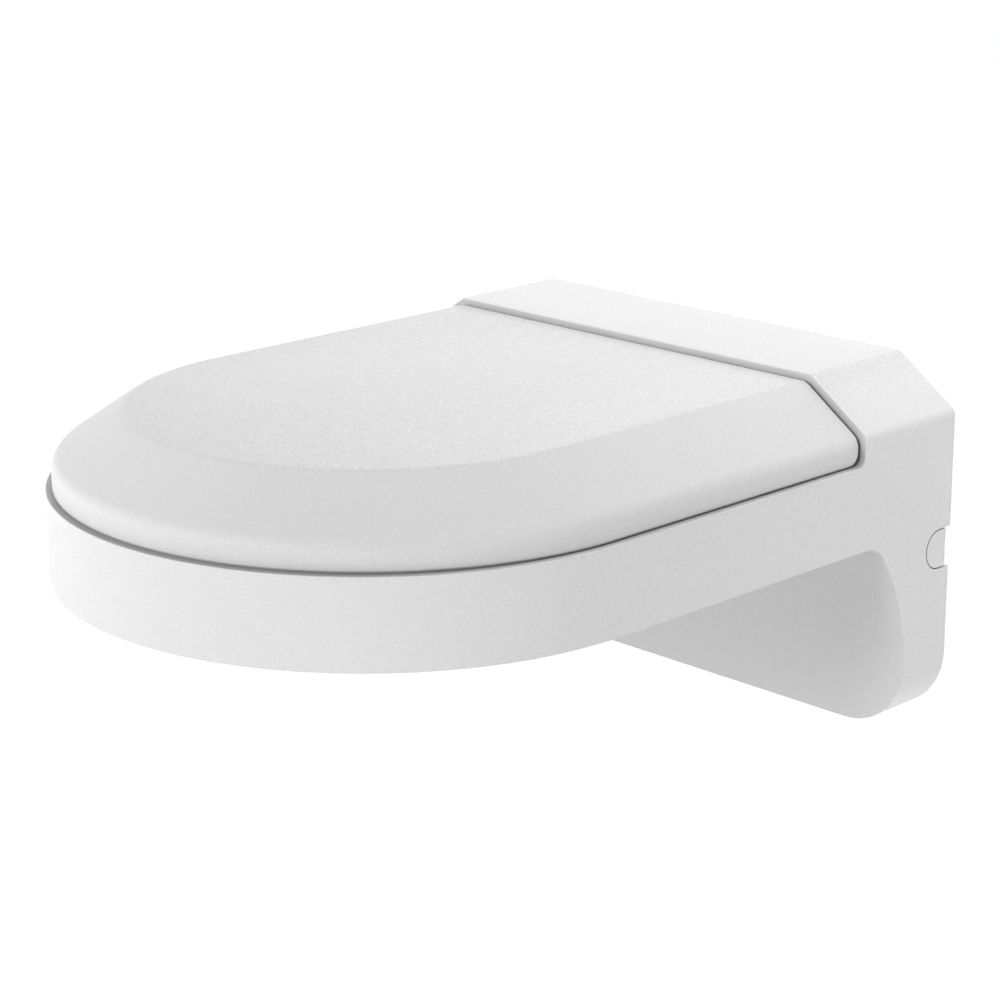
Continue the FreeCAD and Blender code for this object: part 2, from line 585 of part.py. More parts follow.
def fit_cover(body, rear):
    skin = "(-dims.cover_inset - dims.cover_wall / 2)"

    # Lip that drops inside the body's wall, and the band that joins it to the skirt
    lip_outer = f"({HALF} - dims.wall - dims.lip_gap)"
    lip_inner = f"({lip_outer} - dims.lip_wall)"
    lip_rear = f"({rear} - dims.step_fillet - 2 * dims.cover_gap)"
    corners, arcs = arm_band(lip_outer, lip_inner, lip_rear)
    sketch = outline_sketch(body, "lip_outline", "XY_Plane", corners, arcs, "-dims.rim_drop - dims.lip_reach")
    extrude(body, "lip", sketch, "dims.lip_reach + dims.lip_root")
    band_outer = f"({HALF} - dims.cover_inset - dims.cover_wall / 2)"
    corners, arcs = arm_band(band_outer, lip_inner, lip_rear)
    sketch = outline_sketch(body, "lip_root_outline", "XY_Plane", corners, arcs, "-dims.rim_drop")
    extrude(body, "lip_root", sketch, "dims.lip_root")

    # Tongues that go under the box top
    root = f"({rear} - dims.tongue_root)"
    top = "(-dims.wall - dims.tongue_gap)"
    bottom = f"({top} - dims.tongue_wall)"
    tip = "(-dims.box_depth + dims.tongue_reach)"
    corners = [(root, skin), (rear, skin), (rear, top), (tip, top), (tip, bottom), (root, bottom)]
    sketch = outline_sketch(body, "tongue_outline", "YZ_Plane", corners, None, "dims.tongue_spread")
    tongue = extrude(body, "tongue", sketch, "dims.tongue_width", both_sides=True)
    mirror(body, "tongue_pair", tongue, True)

    # Ribs: one to each screw post, and one across at the round end's centre
    low = "(-dims.cover_inset - dims.cover_wall - dims.cover_rib_height)"
    front = SCREW_Y
    corners = [(root, skin), (front, skin), (front, low), (root, low)]
    sketch = outline_sketch(body, "long_rib_outline", "YZ_Plane", corners, None, SCREW_X)
    rib = extrude(body, "long_rib", sketch, "dims.cover_rib", both_sides=True)
    mirror(body, "long_rib_pair", rib, True)
    reach = f"({box_line('dims.cover_inset + dims.cover_wall')[2]} - dims.cover_wall)"
    corners = [(minus(reach), skin), (reach, skin), (reach, low), (minus(reach), low)]
    sketch = outline_sketch(body, "cross_rib_outline", "XZ_Plane", corners, None, "dims.reach")
    extrude(body, "cross_rib", sketch, "dims.cover_rib", both_sides=True)

    # Screw posts down to the posts on the floor, and their blind bores
    places = [(SCREW_X, SCREW_Y), (minus(SCREW_X), SCREW_Y)]
    sketch = circle_sketch(body, "post_outline", "XY_Plane", places, "dims.cover_post", POST_TOP)
    extrude(body, "posts", sketch, f"{skin} - {POST_TOP}")
    sketch = circle_sketch(body, "post_bore_outline", "XY_Plane", places, "dims.screw_shank", POST_TOP)
    depth = f"{SCREW_SEAT} + dims.screw_length + dims.post_bore_room - {POST_TOP}"
    cut(body, "post_bores", sketch, depth, reverse=True)


def put_at(body, across, along, up):
    body.setExpression("Placement.Base.x", across)
    body.setExpression("Placement.Base.y", along)
    body.setExpression("Placement.Base.z", f"{LIFT} + {up}")


def make_side_plug(label, side):
    # Drawn about the middle of the moulded wall that the notch is cut in
    body = new_body(label)
    corners, arcs = notch_loop("-dims.plug_gap", "-dims.plug_back")
    sketch = outline_sketch(body, "plug_outline", "YZ_Plane", corners, arcs)
    extrude(body, "plug", sketch, "dims.wall", both_sides=True)
    corners, arcs = notch_loop("(dims.tongue_slot_depth - dims.plug_gap)", "-dims.plug_back")
    sketch = outline_sketch(body, "plug_tongue_outline", "YZ_Plane", corners, arcs)
    extrude(body, "plug_tongue", sketch, "dims.tongue_slot - 2 * dims.plug_gap", both_sides=True)
    put_at(body, f"{side} * ({HALF} - dims.wall / 2)", "0", "0")
    return body


def make_cover_screw(label, side):
    # Pan head below the seat, shank and point above it
    body = new_body(label)
    head, shank, tip = "(dims.screw_head / 2)", "(dims.screw_shank / 2)", "(dims.screw_tip_width / 2)"
    foot = "(-dims.screw_head_height)"
    corners = [("0", foot), (f"({head} - dims.screw_head_bevel)", foot),
               (head, f"({foot} + dims.screw_head_bevel)"), (head, "0"), (shank, "0"),
               (shank, "(dims.screw_length - dims.screw_tip)"), (tip, "dims.screw_length"),
               ("0", "dims.screw_length")]
    sketch = outline_sketch(body, "screw_outline", "XZ_Plane", corners)
    revolve(body, "screw", sketch)

    # Cross recess
    arm, half = "(dims.screw_slot_span / 2)", "(dims.screw_slot / 2)"
    quarter = [(half, arm), (half, half), (arm, half)]
    corners = list(quarter)
    corners += [(x, minus(y)) for x, y in reversed(quarter)]
    corners += [(minus(x), minus(y)) for x, y in quarter]
    corners += [(minus(x), y) for x, y in reversed(quarter)]
    sketch = outline_sketch(body, "cross_outline", "XY_Plane", corners, None, foot)
    cut(body, "cross_recess", sketch, "dims.screw_slot_depth", reverse=True)
    put_at(body, f"{side} * {SCREW_X}", SCREW_Y, SCREW_SEAT)
    return body


def make_camera_insert(label, side, end):
    # Brass tube, its lower end just above the underside
    body = new_body(label)
    bore, outside, length = "dims.insert_bore / 2", "dims.insert_outside / 2", "dims.insert_length"
    corners = [(bore, "0"), (outside, "0"), (outside, length), (bore, length)]
    sketch = outline_sketch(body, "insert_outline", "XZ_Plane", corners)
    revolve(body, "insert", sketch)
    put_at(body, f"{side} * {CAMERA_STEP}", f"{CENTRE} + {end} * {CAMERA_STEP}",
           "(-dims.arm_drop + dims.insert_recess)")
    return body


pieces = [make_bracket_body(), make_top_cover()]
for word, side in (("left", -1), ("right", 1)):
    pieces.append(make_side_plug(f"side_plug_{word}", side))
    pieces.append(make_cover_screw(f"cover_screw_{word}", side))
    for place, end in (("front", -1), ("rear", 1)):
        pieces.append(make_camera_insert(f"camera_insert_{place}_{word}", side, end))
doc.recompute()

# Every object and every solid is checked before anything is written
for item in doc.Objects:
    if {"Invalid", "Error"} & set(item.State):
        raise RuntimeError(f"{item.Name} failed: {item.State}")
os.makedirs("parts", exist_ok=True)
for piece in pieces:
    if piece.Shape.isNull() or not piece.Shape.isValid():
        raise RuntimeError(f"{piece.Label} has no valid shape")
    print(piece.Label, len(piece.Shape.Solids), "solid,", round(piece.Shape.Volume, 1), "mm3")
    piece.Shape.exportStep(f"parts/{piece.Label}.step")
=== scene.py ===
import bpy
import bmesh
from math import cos, radians
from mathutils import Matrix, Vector, kdtree


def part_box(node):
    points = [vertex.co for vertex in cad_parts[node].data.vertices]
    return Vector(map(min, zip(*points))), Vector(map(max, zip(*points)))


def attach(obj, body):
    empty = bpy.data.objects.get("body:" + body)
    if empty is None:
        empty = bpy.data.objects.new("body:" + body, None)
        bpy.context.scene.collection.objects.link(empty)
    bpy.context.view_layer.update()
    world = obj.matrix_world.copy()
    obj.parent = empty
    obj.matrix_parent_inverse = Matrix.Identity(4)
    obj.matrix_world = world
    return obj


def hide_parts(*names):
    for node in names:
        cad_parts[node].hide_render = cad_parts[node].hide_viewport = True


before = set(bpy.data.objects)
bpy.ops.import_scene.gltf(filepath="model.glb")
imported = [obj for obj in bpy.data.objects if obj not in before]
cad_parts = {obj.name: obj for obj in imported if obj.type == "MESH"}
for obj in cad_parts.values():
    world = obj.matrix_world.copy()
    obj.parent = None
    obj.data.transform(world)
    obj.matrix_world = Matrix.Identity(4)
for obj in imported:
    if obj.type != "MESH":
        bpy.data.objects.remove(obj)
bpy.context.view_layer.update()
print("frame loaded with", len(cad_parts), "nodes")


# helpers for the node trees
def addNode(tree, kind, x, y, **values):
    node = tree.nodes.new(kind)
    node.location = (x, y)
    for name, value in values.items():
        setattr(node, name, value)
    return node


def setInputs(node, **values):
    for name, value in values.items():
        node.inputs[name.replace("_", " ")].default_value = value


def newGroup(name, inputs, outputs):
    tree = bpy.data.node_groups.new(name, "ShaderNodeTree")
    for label, kind, value in inputs:
        socket = tree.interface.new_socket(label, in_out="INPUT", socket_type=kind)
        if value is not None:
            socket.default_value = value
    for label, kind in outputs:
        tree.interface.new_socket(label, in_out="OUTPUT", socket_type=kind)
    source = addNode(tree, "NodeGroupInput", -900, 0)
    target = addNode(tree, "NodeGroupOutput", 700, 0)
    return tree, source, target


def placeGroup(tree, group, x, y, **values):
    node = addNode(tree, "ShaderNodeGroup", x, y)
    node.node_tree = group
    setInputs(node, **values)
    return node


# effects that several materials share, each a group of nodes
grainValues = {
    "fineDetail": 3.0,
    "fineRoughness": 0.62,
    "cellScale": 0.45,  # against the scale of the fine grain
    "cellDepth": -0.35,  # the cells sink into the fine grain
    "cloudDetail": 4.0,
    "cloudRoughness": 0.5,
    "toneFrom": 0.25,
    "toneTo": 0.75,
    "wallUpward": 0.84,  # upward part of the normal, up to which a face counts as a wall
    "levelUpward": 0.99,
}


def makeMouldGrain():  # the fine sandy skin that a spark-eroded mould leaves on plastic
    tree, source, target = newGroup(
        "mouldGrain",
        [("Vector", "NodeSocketVector", None),
         ("Grain Scale", "NodeSocketFloat", 2400.0),
         ("Cloud Scale", "NodeSocketFloat", 28.0),
         ("Contrast", "NodeSocketFloat", 0.16),
         ("Side Grain", "NodeSocketFloat", 0.4)],
        [("Height", "NodeSocketFloat"), ("Tone", "NodeSocketFloat"), ("Cloud", "NodeSocketFloat")])
    fine = addNode(tree, "ShaderNodeTexNoise", -600, 200, noise_dimensions="3D")
    setInputs(fine, Detail=grainValues["fineDetail"], Roughness=grainValues["fineRoughness"])
    coarse = addNode(tree, "ShaderNodeTexVoronoi", -600, -60, feature="F1")
    cloud = addNode(tree, "ShaderNodeTexNoise", -600, -340, noise_dimensions="3D")
    setInputs(cloud, Detail=grainValues["cloudDetail"], Roughness=grainValues["cloudRoughness"])
    cellScale = addNode(tree, "ShaderNodeMath", -780, -60, operation="MULTIPLY")
    cellScale.inputs[1].default_value = grainValues["cellScale"]
    mixed = addNode(tree, "ShaderNodeMath", -320, 120, operation="MULTIPLY_ADD")
    mixed.inputs[1].default_value = grainValues["cellDepth"]
    spread = addNode(tree, "ShaderNodeMapRange", -60, -40)
    setInputs(spread, From_Min=grainValues["toneFrom"], From_Max=grainValues["toneTo"],
              To_Min=-1.0, To_Max=1.0)
    tone = addNode(tree, "ShaderNodeMath", 220, -40, operation="MULTIPLY_ADD")
    tone.inputs[2].default_value = 1.0
    geometry = addNode(tree, "ShaderNodeNewGeometry", -780, -560)
    parts = addNode(tree, "ShaderNodeSeparateXYZ", -600, -560)
    upward = addNode(tree, "ShaderNodeMapRange", -420, -560)  # walls drawn out of the mould keep less grain
    setInputs(upward, From_Min=grainValues["wallUpward"], From_Max=grainValues["levelUpward"], To_Max=1.0)
    contrast = addNode(tree, "ShaderNodeMath", -60, -300, operation="MULTIPLY")
    height = addNode(tree, "ShaderNodeMath", 220, 160, operation="MULTIPLY")
    tree.links.new(source.outputs["Vector"], fine.inputs["Vector"])
    tree.links.new(source.outputs["Vector"], coarse.inputs["Vector"])
    tree.links.new(source.outputs["Vector"], cloud.inputs["Vector"])
    tree.links.new(source.outputs["Grain Scale"], fine.inputs["Scale"])
    tree.links.new(source.outputs["Grain Scale"], cellScale.inputs[0])
    tree.links.new(cellScale.outputs[0], coarse.inputs["Scale"])
    tree.links.new(source.outputs["Cloud Scale"], cloud.inputs["Scale"])
    tree.links.new(coarse.outputs["Distance"], mixed.inputs[0])
    tree.links.new(fine.outputs["Fac"], mixed.inputs[2])
    tree.links.new(fine.outputs["Fac"], spread.inputs["Value"])
    tree.links.new(spread.outputs["Result"], tone.inputs[0])
    tree.links.new(geometry.outputs["Normal"], parts.inputs["Vector"])
    tree.links.new(parts.outputs["Z"], upward.inputs["Value"])
    tree.links.new(source.outputs["Side Grain"], upward.inputs["To Min"])
    tree.links.new(source.outputs["Contrast"], contrast.inputs[0])
    tree.links.new(upward.outputs["Result"], contrast.inputs[1])
    tree.links.new(contrast.outputs[0], tone.inputs[1])
    tree.links.new(mixed.outputs[0], height.inputs[0])
    tree.links.new(upward.outputs["Result"], height.inputs[1])
    tree.links.new(height.outputs[0], target.inputs["Height"])
    tree.links.new(tone.outputs[0], target.inputs["Tone"])
    tree.links.new(cloud.outputs["Fac"], target.inputs["Cloud"])
    return tree


edgeHighlightValues = {
    "pointedFrom": 0.52,  # pointiness at which the painted edge highlight starts
    "pointedTo": 0.62,
    "patchScale": 60.0,
    "patchDetail": 3.0,
}


def makePaintedEdgeHighlight():  # painted highlight: sharp edges painted a little lighter than the grain round them, in uneven patches
    tree, source, target = newGroup(
        "paintedEdgeHighlight",
        [("Vector", "NodeSocketVector", None),
         ("Amount", "NodeSocketFloat", 0.3)],
        [("Mask", "NodeSocketFloat")])
    geometry = addNode(tree, "ShaderNodeNewGeometry", -640, 160)
    sharp = addNode(tree, "ShaderNodeMapRange", -420, 160)
    setInputs(sharp, From_Min=edgeHighlightValues["pointedFrom"], From_Max=edgeHighlightValues["pointedTo"],
              To_Min=0.0, To_Max=1.0)
    patchy = addNode(tree, "ShaderNodeTexNoise", -420, -120)
    setInputs(patchy, Scale=edgeHighlightValues["patchScale"], Detail=edgeHighlightValues["patchDetail"])
    uneven = addNode(tree, "ShaderNodeMath", -120, 40, operation="MULTIPLY")
    amount = addNode(tree, "ShaderNodeMath", 120, 40, operation="MULTIPLY")
    tree.links.new(geometry.outputs["Pointiness"], sharp.inputs["Value"])
    tree.links.new(source.outputs["Vector"], patchy.inputs["Vector"])
    tree.links.new(sharp.outputs["Result"], uneven.inputs[0])
    tree.links.new(patchy.outputs["Fac"], uneven.inputs[1])
    tree.links.new(uneven.outputs[0], amount.inputs[0])
    tree.links.new(source.outputs["Amount"], amount.inputs[1])
    tree.links.new(amount.outputs[0], target.inputs["Mask"])
    return tree


paintedShadeValues = {
    "samples": 8,
    "mostClosed": 0.5,  # a deep gap gets no more painted shade than this
}


def makePaintedCreviceShade():  # painted shade: ambient occlusion darkens the plastic's colour where it meets another face, standing in for shade in gaps and corners
    tree, source, target = newGroup(
        "paintedCreviceShade",
        [("Reach", "NodeSocketFloat", 0.005),
         ("Amount", "NodeSocketFloat", 0.3)],
        [("Tone", "NodeSocketFloat")])
    near = addNode(tree, "ShaderNodeAmbientOcclusion", -520, 0, samples=paintedShadeValues["samples"])
    closed = addNode(tree, "ShaderNodeMath", -280, 0, operation="SUBTRACT")
    closed.inputs[0].default_value = 1.0
    most = addNode(tree, "ShaderNodeMath", -170, 0, operation="MINIMUM")
    most.inputs[1].default_value = paintedShadeValues["mostClosed"]
    scaled = addNode(tree, "ShaderNodeMath", -60, 0, operation="MULTIPLY")
    tone = addNode(tree, "ShaderNodeMath", 160, 0, operation="SUBTRACT")
    tone.inputs[0].default_value = 1.0
    tree.links.new(source.outputs["Reach"], near.inputs["Distance"])
    tree.links.new(near.outputs["AO"], closed.inputs[1])
    tree.links.new(closed.outputs[0], most.inputs[0])
    tree.links.new(most.outputs[0], scaled.inputs[0])
    tree.links.new(source.outputs["Amount"], scaled.inputs[1])
    tree.links.new(scaled.outputs[0], tone.inputs[1])
    tree.links.new(tone.outputs[0], target.inputs["Tone"])
    return tree


turnedValues = {
    "ringDistortion": 1.5,
    "ringDetail": 2.0,
    "ringHeight": 0.6,  # against the scratches
    "scratchDetail": 5.0,
    "scratchRoughness": 0.7,
}


def makeTurnedMetal():  # rings left by turning, and fine scratches across them
    tree, source, target = newGroup(
        "turnedMetal",
        [("Vector", "NodeSocketVector", None),
         ("Ring Scale", "NodeSocketFloat", 900.0),
         ("Scratch Scale", "NodeSocketFloat", 700.0)],
        [("Height", "NodeSocketFloat"), ("Tone", "NodeSocketFloat")])
    rings = addNode(tree, "ShaderNodeTexWave", -560, 160, wave_type="RINGS", rings_direction="Z")
    setInputs(rings, Distortion=turnedValues["ringDistortion"], Detail=turnedValues["ringDetail"])
    scratches = addNode(tree, "ShaderNodeTexNoise", -560, -160)
    setInputs(scratches, Detail=turnedValues["scratchDetail"], Roughness=turnedValues["scratchRoughness"])
    both = addNode(tree, "ShaderNodeMath", -260, 40, operation="MULTIPLY_ADD")
    both.inputs[1].default_value = turnedValues["ringHeight"]
    tree.links.new(source.outputs["Vector"], rings.inputs["Vector"])
    tree.links.new(source.outputs["Vector"], scratches.inputs["Vector"])
    tree.links.new(source.outputs["Ring Scale"], rings.inputs["Scale"])
    tree.links.new(source.outputs["Scratch Scale"], scratches.inputs["Scale"])
    tree.links.new(rings.outputs["Fac"], both.inputs[0])
    tree.links.new(scratches.outputs["Fac"], both.inputs[2])
    tree.links.new(both.outputs[0], target.inputs["Height"])
    tree.links.new(scratches.outputs["Fac"], target.inputs["Tone"])
    return tree


mouldGrain = makeMouldGrain()
# painted highlight along sharp edges
paintedEdgeHighlight = makePaintedEdgeHighlight()
# painted shade in gaps and corners
paintedCreviceShade = makePaintedCreviceShade()
turnedMetal = makeTurnedMetal()
print("shared effects ready")


# materials; a Mix node's colour sockets have names that others share, so they go by number
mixColourA = 6
mixColourB = 7
mixColourOut = 2


def startMaterial(name):
    material = bpy.data.materials.new(name)
    material.use_nodes = True
    tree = material.node_tree
    shader = tree.nodes["Principled BSDF"]
    shader.location = (500, 0)
    tree.nodes["Material Output"].location = (800, 0)
    place = addNode(tree, "ShaderNodeTexCoord", -900, 0)
    return material, tree, shader, place


def paleTone(tree, tone, colour, x, y):  # a colour made a little lighter and darker by a value
    shade = addNode(tree, "ShaderNodeMix", x, y, data_type="RGBA", blend_type="MULTIPLY")
    shade.inputs["Factor"].default_value = 1.0
    shade.inputs[mixColourA].default_value = (*colour, 1.0)
    tree.links.new(tone, shade.inputs[mixColourB])
    return shade


plasticValues = {
    "cloudFrom": 0.3,
    "cloudTo": 0.7,
    "glossFrom": 0.25,
    "glossTo": 0.75,
    "glossSpread": 0.05,  # how much rougher and smoother the clouds make it
    "bumpDistance": 0.0001,
    "ior": 1.49,
}


def makePlastic(name, values):
    material, tree, shader, place = startMaterial(name)
    grain = placeGroup(tree, mouldGrain, -620, 60, Grain_Scale=values["grainScale"],
                       Cloud_Scale=values["cloudScale"], Contrast=values["grainContrast"],
                       Side_Grain=values["sideGrain"])
    # painted highlight along sharp edges
    edgeHighlight = placeGroup(tree, paintedEdgeHighlight, -620, -260, Amount=values["paintedEdgeHighlight"])
    cloudy = addNode(tree, "ShaderNodeMapRange", -380, 260)
    setInputs(cloudy, From_Min=plasticValues["cloudFrom"], From_Max=plasticValues["cloudTo"],
              To_Min=1.0 - values["cloudContrast"], To_Max=1.0)
    # painted shade: ambient occlusion darkens the base colour in gaps and corners
    paintedShade = placeGroup(tree, paintedCreviceShade, -620, 420, Reach=values["paintedShadeReach"],
                         Amount=values["paintedCreviceShade"])
    grainy = addNode(tree, "ShaderNodeMath", -280, 260, operation="MULTIPLY")
    tone = addNode(tree, "ShaderNodeMath", -140, 260, operation="MULTIPLY")
    shade = paleTone(tree, tone.outputs[0], values["colour"], 0, 260)
    # mixes the painted edge highlight colour over the base colour
    lighter = addNode(tree, "ShaderNodeMix", 220, 200, data_type="RGBA", blend_type="MIX")
    lighter.inputs[mixColourB].default_value = (*values["edgeHighlightColour"], 1.0)
    gloss = addNode(tree, "ShaderNodeMapRange", 0, -60)
    setInputs(gloss, From_Min=plasticValues["glossFrom"], From_Max=plasticValues["glossTo"],
              To_Min=values["roughness"] - plasticValues["glossSpread"],
              To_Max=values["roughness"] + plasticValues["glossSpread"])
    bump = addNode(tree, "ShaderNodeBump", 220, -260)
    setInputs(bump, Strength=values["bump"], Distance=plasticValues["bumpDistance"])
    tree.links.new(place.outputs["Object"], grain.inputs["Vector"])
    tree.links.new(place.outputs["Object"], edgeHighlight.inputs["Vector"])
    tree.links.new(grain.outputs["Cloud"], cloudy.inputs["Value"])
    tree.links.new(cloudy.outputs["Result"], grainy.inputs[0])
    tree.links.new(grain.outputs["Tone"], grainy.inputs[1])
    tree.links.new(grainy.outputs[0], tone.inputs[0])
    # the painted crevice shade multiplies the grain tone
    tree.links.new(paintedShade.outputs["Tone"], tone.inputs[1])
    tree.links.new(shade.outputs[mixColourOut], lighter.inputs[mixColourA])
    tree.links.new(edgeHighlight.outputs["Mask"], lighter.inputs["Factor"])
    tree.links.new(lighter.outputs[mixColourOut], shader.inputs["Base Color"])
    tree.links.new(grain.outputs["Cloud"], gloss.inputs["Value"])
    tree.links.new(gloss.outputs["Result"], shader.inputs["Roughness"])
    tree.links.new(grain.outputs["Height"], bump.inputs["Height"])
    tree.links.new(bump.outputs["Normal"], shader.inputs["Normal"])
    setInputs(shader, Specular_IOR_Level=values["specular"], IOR=plasticValues["ior"])
    return material


metalValues = {
    "noiseFrom": 0.3,
    "noiseTo": 0.7,
    "darkestTone": 0.88,
    "smoother": 0.06,  # how far the roughness falls and rises with the scratches
    "rougher": 0.08,
    "bumpDistance": 0.00002,
}


def makeMetal(name, values):
    material, tree, shader, place = startMaterial(name)
    centre = addNode(tree, "ShaderNodeMapping", -760, 0)
    centre.inputs["Location"].default_value = [-c for c in values["centre"]]
    turned = placeGroup(tree, turnedMetal, -540, 0, Ring_Scale=values["ringScale"],
                        Scratch_Scale=values["scratchScale"])
    tone = addNode(tree, "ShaderNodeMapRange", -300, 160)
    setInputs(tone, From_Min=metalValues["noiseFrom"], From_Max=metalValues["noiseTo"],
              To_Min=metalValues["darkestTone"], To_Max=1.0)
    shade = paleTone(tree, tone.outputs["Result"], values["colour"], -60, 160)
    gloss = addNode(tree, "ShaderNodeMapRange", -60, -60)
    setInputs(gloss, From_Min=metalValues["noiseFrom"], From_Max=metalValues["noiseTo"],
              To_Min=values["roughness"] - metalValues["smoother"],
              To_Max=values["roughness"] + metalValues["rougher"])
    bump = addNode(tree, "ShaderNodeBump", 200, -260)
    setInputs(bump, Strength=values["bump"], Distance=metalValues["bumpDistance"])
    tree.links.new(place.outputs["Object"], centre.inputs["Vector"])
    tree.links.new(centre.outputs["Vector"], turned.inputs["Vector"])
    tree.links.new(turned.outputs["Tone"], tone.inputs["Value"])
    tree.links.new(shade.outputs[mixColourOut], shader.inputs["Base Color"])
    tree.links.new(turned.outputs["Tone"], gloss.inputs["Value"])
    tree.links.new(gloss.outputs["Result"], shader.inputs["Roughness"])
    tree.links.new(turned.outputs["Height"], bump.inputs["Height"])
    tree.links.new(bump.outputs["Normal"], shader.inputs["Normal"])
    setInputs(shader, Metallic=1.0)
    return material


# each piece is a finished copy of its own solid
meshValues = {
    "sameFlatAngle": 0.2,  # degrees between faces that count as one flat
    "clearWidths": 3.0,  # an edge nearer a tight spot than this many edge widths stays sharp
    "foldedCosine": -0.8,  # neighbours turned this far against each other are folded
    "attempts": 6,
}


def selectOnly(piece):
    bpy.ops.object.select_all(action="DESELECT")
    piece.select_set(True)
    bpy.context.view_layer.objects.active = piece


def shadeByFlats(piece, smoothAngle):  # whole flat faces keep their normal, and roundings blend into them
    selectOnly(piece)
    bpy.ops.object.shade_smooth()
    shape = bmesh.new()
    shape.from_mesh(piece.data)
    shape.faces.ensure_lookup_table()
    flatOf = {}
    flats = []
    sameFlat = cos(radians(meshValues["sameFlatAngle"]))
    for face in shape.faces:
        if face.index in flatOf:
            continue
        normal = face.normal.copy()
        area = 0.0
        waiting = [face]
        flatOf[face.index] = len(flats)
        while waiting:
            current = waiting.pop()
            area += current.calc_area()
            for edge in current.edges:
                for other in edge.link_faces:
                    if other.index not in flatOf and other.normal.dot(normal) > sameFlat:
                        flatOf[other.index] = len(flats)
                        waiting.append(other)
        flats.append((normal, area))
    blended = cos(radians(smoothAngle))
    normals = [(0.0, 0.0, 1.0)] * len(piece.data.loops)
    for vertex in shape.verts:
        around = {flatOf[face.index] for face in vertex.link_faces}
        for loop in vertex.link_loops:
            own = flats[flatOf[loop.face.index]][0]
            near = [flats[flat] for flat in sorted(around) if flats[flat][0].dot(own) > blended]
            total = Vector((0.0, 0.0, 0.0))
            for normal, area in near:
                total += normal * area
            normals[loop.index] = total.normalized()
    shape.free()
    piece.data.normals_split_custom_set(normals)


def joinFlats(piece, flatAngle):  # the triangles of a flat face become whole faces again
    selectOnly(piece)
    bpy.ops.object.mode_set(mode="EDIT")
    bpy.ops.mesh.select_all(action="SELECT")
    bpy.ops.mesh.dissolve_limited(angle_limit=radians(flatAngle))
    bpy.ops.object.mode_set(mode="OBJECT")


def markSharpEdges(piece, values, tightSpots):  # picks the edges to round, away from tight spots
    clearance = meshValues["clearWidths"] * values["edgeWidth"]
    near = kdtree.KDTree(len(tightSpots))
    for number, spot in enumerate(tightSpots):
        near.insert(spot, number)
    near.balance()
    shape = bmesh.new()
    shape.from_mesh(piece.data)
    layers = shape.edges.layers.float
    weight = layers.get("bevel_weight_edge") or layers.new("bevel_weight_edge")
    for edge in shape.edges:
        sharp = len(edge.link_faces) == 2 and edge.calc_face_angle() > radians(values["sharpAngle"])
        if sharp and tightSpots:
            sharp = min(near.find(vertex.co)[2] for vertex in edge.verts) > clearance
        edge[weight] = 1.0 if sharp else 0.0
    shape.to_mesh(piece.data)
    shape.free()


def roundMarkedEdges(piece, values):
    selectOnly(piece)
    bevel = piece.modifiers.new("softEdges", "BEVEL")
    bevel.width = values["edgeWidth"]
    bevel.segments = values["edgeSegments"]
    bevel.limit_method = "WEIGHT"
    bevel.miter_outer = "MITER_ARC"
    bevel.use_clamp_overlap = False
    bpy.ops.object.modifier_apply(modifier=bevel.name)


def foldedSpots(piece):  # corners of faces that the bevel turned over
    shape = bmesh.new()
    shape.from_mesh(piece.data)
    spots = []
    for edge in shape.edges:
        if len(edge.link_faces) == 2:
            first, second = edge.link_faces
            if first.normal.dot(second.normal) < meshValues["foldedCosine"]:
                folded = min(first, second, key=lambda face: face.calc_area())
                spots += [vertex.co.copy() for vertex in folded.verts]
    shape.free()
    return spots


def softenEdges(piece, values):  # rounds anew with folded places left sharp, until no fold is left
    plain = piece.data.copy()
    tightSpots = []
    for attempt in range(meshValues["attempts"]):
        if attempt:
            piece.data = plain.copy()
        markSharpEdges(piece, values, tightSpots)
        roundMarkedEdges(piece, values)
        folds = foldedSpots(piece)
        if not folds:
            break
        tightSpots += folds
    print(piece.name, "rounded in", attempt + 1, "attempts,", len(folds), "folded corners left")


def finishedCopy(nodeName, values):
    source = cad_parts[nodeName]
    piece = bpy.data.objects.new(nodeName + "_finished", source.data.copy())
    bpy.context.scene.collection.objects.link(piece)
    selectOnly(piece)
    if piece.data.has_custom_normals:
        bpy.ops.mesh.customdata_custom_splitnormals_clear()
    bpy.ops.object.mode_set(mode="EDIT")
    bpy.ops.mesh.select_all(action="SELECT")
    bpy.ops.mesh.remove_doubles(threshold=values["mergeDistance"])
    bpy.ops.mesh.beautify_fill(angle_limit=radians(values["flatAngle"]))
    bpy.ops.object.mode_set(mode="OBJECT")
    if values["flatsFirst"]:
        joinFlats(piece, values["flatAngle"])
    softenEdges(piece, values)
    if not values["flatsFirst"]:
        joinFlats(piece, values["flatAngle"])
    shadeByFlats(piece, values["smoothAngle"])
    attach(piece, "root")
    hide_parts(nodeName)
    return piece


def giveMaterial(piece, material):
    piece.data.materials.clear()
    piece.data.materials.append(material)
    for polygon in piece.data.polygons:
        polygon.material_index = 0


bodyValues = {
    "mergeDistance": 0.000002,
    "flatAngle": 0.4,
    "flatsFirst": False,
    "edgeWidth": 0.0002,
    "edgeSegments": 2,
    "sharpAngle": 26.0,
    "smoothAngle": 50.0,
    # the edge colour is a painted highlight, and the crevice entries set painted shade in gaps
    "plastic": {"colour": (0.80, 0.80, 0.80), "edgeHighlightColour": (0.88, 0.88, 0.88),
                "grainScale": 2400.0, "grainContrast": 0.18, "sideGrain": 0.35,
                "cloudScale": 26.0, "cloudContrast": 0.015,
                "paintedShadeReach": 0.006, "paintedCreviceShade": 0.85, "paintedEdgeHighlight": 0.3,
                "roughness": 0.6, "specular": 0.3, "bump": 0.35},
}
bodyPlastic = makePlastic("whiteMouldedBody", bodyValues["plastic"])
body = finishedCopy("bracket_body", bodyValues)
giveMaterial(body, bodyPlastic)
print("bracket body finished with", len(body.data.polygons), "faces")

